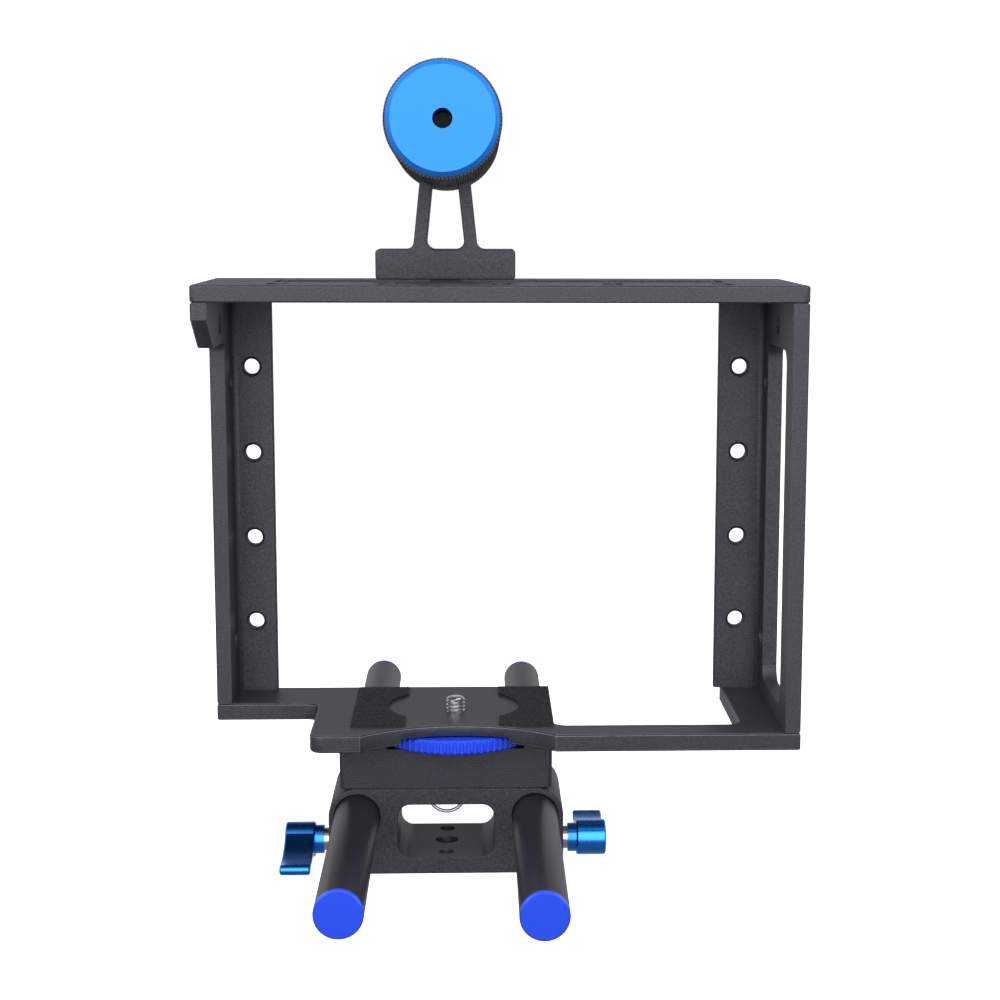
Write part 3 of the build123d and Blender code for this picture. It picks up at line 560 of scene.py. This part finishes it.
# ------------------------------------------------------------------ camera screw and wheel
# A 1/4-20 screw of bright plated steel stands up through the base plate. It is pressed
# into a blue thumb wheel with a ribbed rim, which turns in a pocket under the plate.
SCREW_RADIUS = 0.003175
SCREW_PITCH = 0.00127
THREAD_HEIGHT = 0.00055
SCREW_DOME = 0.0011
COLUMNS = 48
PROFILE = ((0.0, 1.0), (0.18, 1.0), (0.46, 0.0), (0.62, 0.0), (0.90, 1.0))

screw_low, screw_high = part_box("camera_screw")
wheel_low, wheel_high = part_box("thumb_wheel")
HEAD_RADIUS = (screw_high.x - screw_low.x) / 2
HEAD_HEIGHT = 0.002


def threaded_screw():
    """The screw's shank with its helical thread and domed tip, standing on its flat head."""
    mesh = bmesh.new()
    bottom, top = screw_low.z + HEAD_HEIGHT, screw_high.z
    turns = math.ceil((top - bottom) / SCREW_PITCH) + 2
    start = bottom - 1.5 * SCREW_PITCH
    steps = [(turn + share, crest) for turn in range(turns + 1) for share, crest in PROFILE]
    columns = []
    for column in range(COLUMNS):
        part = column / COLUMNS
        verts = []
        for along, crest in steps:
            z = min(max(start + SCREW_PITCH * (along + part), bottom), top)
            radius = SCREW_RADIUS - THREAD_HEIGHT * (1.0 - crest)
            near_tip = min(1.0, max(0.0, z - (top - SCREW_DOME)) / SCREW_DOME)
            radius = min(radius, SCREW_RADIUS - 1.9 * SCREW_DOME * (1 - math.cos(math.asin(near_tip))))
            angle = 2 * math.pi * part
            verts.append(mesh.verts.new((radius * math.cos(angle), radius * math.sin(angle), z)))
        columns.append(verts)
    for column in range(COLUMNS):
        wrapped = column == COLUMNS - 1
        here = columns[column]
        there = columns[0][len(PROFILE):] if wrapped else columns[column + 1]
        for k in range(min(len(here), len(there)) - 1):
            mesh.faces.new((here[k], there[k], there[k + 1], here[k + 1]))
    bmesh.ops.remove_doubles(mesh, verts=mesh.verts, dist=1e-6)
    rims = [e for e in mesh.edges if e.is_boundary]
    bmesh.ops.holes_fill(mesh, edges=rims, sides=0)
    head = bmesh.ops.create_cone(
        mesh, cap_ends=True, segments=64, radius1=HEAD_RADIUS, radius2=HEAD_RADIUS,
        depth=HEAD_HEIGHT, matrix=Matrix.Translation((0, 0, screw_low.z + HEAD_HEIGHT / 2)),
    )
    rim = [e for v in head["verts"] for e in v.link_edges if v.co.z < screw_low.z + 1e-6]
    rim = [e for e in set(rim) if all(v.co.z < screw_low.z + 1e-6 for v in e.verts)]
    bmesh.ops.bevel(mesh, geom=rim, offset=0.0003, segments=2, affect="EDGES")
    bmesh.ops.recalc_face_normals(mesh, faces=mesh.faces)
    return mesh


chrome = bright_steel("chrome", (0.70, 0.71, 0.73), 0.26)
screw = new_piece("camera_screw_thread", threaded_screw(), chrome, "wheel", "chrome", "camera_screw")
for face in screw.data.polygons:
    face.use_smooth = True
screw.data.set_sharp_from_angle(angle=math.radians(35.0))
dress(("thumb_wheel",), royal_blue("blue_wheel", (0, 0, wheel_low.z), (0, 0, 1)))

# ------------------------------------------------------------------ pads
# Two strips of black rubber with a moulded weave are glued on the base plate, one each
# side of the camera screw, and cut round to clear it.
PAD_THREAD = 0.0010            # width of one raised thread
PAD_STITCH = 0.0024            # its length, before it dips under the next
PAD_RELIEF = 0.00038
PAD_CELLS = 4                  # mesh steps across a thread
PAD_STEPS = 6                  # mesh steps along a stitch
PAD_RING = 0.0224              # radius kept clear round the camera screw
PAD_RING_X = -0.0007


def rubber(name):
    """Black rubber: dull, with a fine mottle of dust."""
    skin_paint = bpy.data.materials.new(name)
    skin_paint.use_nodes = True
    tree = skin_paint.node_tree
    skin = tree.nodes["Principled BSDF"]
    place = tree.nodes.new("ShaderNodeTexCoord")
    dust = tree.nodes.new("ShaderNodeTexNoise")
    dust.inputs["Scale"].default_value = 1500.0
    dust.inputs["Detail"].default_value = 5.0
    tones = tree.nodes.new("ShaderNodeValToRGB")
    tones.color_ramp.elements[0].position = 0.4
    tones.color_ramp.elements[0].color = (0.004, 0.004, 0.005, 1.0)
    tones.color_ramp.elements[1].position = 0.8
    tones.color_ramp.elements[1].color = (0.02, 0.02, 0.022, 1.0)
    bump = tree.nodes.new("ShaderNodeBump")
    bump.inputs["Strength"].default_value = 0.3
    bump.inputs["Distance"].default_value = 0.00005
    tree.links.new(place.outputs["Object"], dust.inputs["Vector"])
    tree.links.new(dust.outputs["Fac"], tones.inputs["Fac"])
    tree.links.new(dust.outputs["Fac"], bump.inputs["Height"])
    tree.links.new(tones.outputs["Color"], skin.inputs["Base Color"])
    tree.links.new(bump.outputs["Normal"], skin.inputs["Normal"])
    skin.inputs["Roughness"].default_value = 0.62
    skin.inputs["Specular IOR Level"].default_value = 0.35
    return skin_paint


def woven_pad(low, high):
    """A flat strip whose top is pressed into a weave of short raised stitches."""
    mesh = bmesh.new()
    threads = round((high.x - low.x) / PAD_THREAD)
    rows = round((high.y - low.y) / PAD_STITCH)
    across, along = PAD_CELLS * threads, PAD_STEPS * rows
    verts = []
    for j in range(along + 1):
        row, climb = divmod(j / PAD_STEPS, 1.0)
        for i in range(across + 1):
            thread = i / PAD_CELLS + 0.5 * (row % 2)
            swell = abs(math.sin(math.pi * thread)) * math.sin(math.pi * climb) ** 0.7
            edge = i in (0, across) or j in (0, along)
            x = low.x + (high.x - low.x) * i / across
            y = low.y + (high.y - low.y) * j / along
            if j in (0, along):
                y += (1 if j == 0 else -1) * 0.5 * PAD_RELIEF * (1 - math.sin(math.pi * thread) ** 2)
            sunk = PAD_RELIEF if edge else PAD_RELIEF * (1 - swell)
            verts.append(mesh.verts.new((x, y, high.z - sunk)))
    for j in range(along):
        for i in range(across):
            a = j * (across + 1) + i
            mesh.faces.new((verts[a], verts[a + 1], verts[a + across + 2], verts[a + across + 1]))
    rim = [e for e in mesh.edges if e.is_boundary]
    skirt = bmesh.ops.extrude_edge_only(mesh, edges=rim)["geom"]
    for part in skirt:
        if isinstance(part, bmesh.types.BMVert):
            part.co.z = low.z
    bmesh.ops.holes_fill(mesh, edges=[e for e in mesh.edges if e.is_boundary], sides=0)
    bmesh.ops.recalc_face_normals(mesh, faces=mesh.faces)
    return mesh


pad_rubber = rubber("pad_rubber")
for side in ("left", "right"):
    low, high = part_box(f"pad_{side}")
    pad = new_piece(
        f"pad_{side}_weave", woven_pad(low, high), pad_rubber, "cage", "pad_rubber", f"pad_{side}"
    )
    ring = bmesh.new()
    bmesh.ops.create_cone(
        ring, cap_ends=True, segments=96, radius1=PAD_RING, radius2=PAD_RING, depth=0.01,
        matrix=Matrix.Translation((PAD_RING_X, (low.y + high.y) / 2, 0.0)),
    )
    cut_away(pad, ring)

# ------------------------------------------------------------------ ring screw
# A low round head with a folding wire ring hangs in the clamp window. It draws the clamp
# block up to the riser, and it is plated like the camera screw.
dress(("d_ring_screw",), chrome, edge=0.00015)
dress(("d_ring",), chrome)
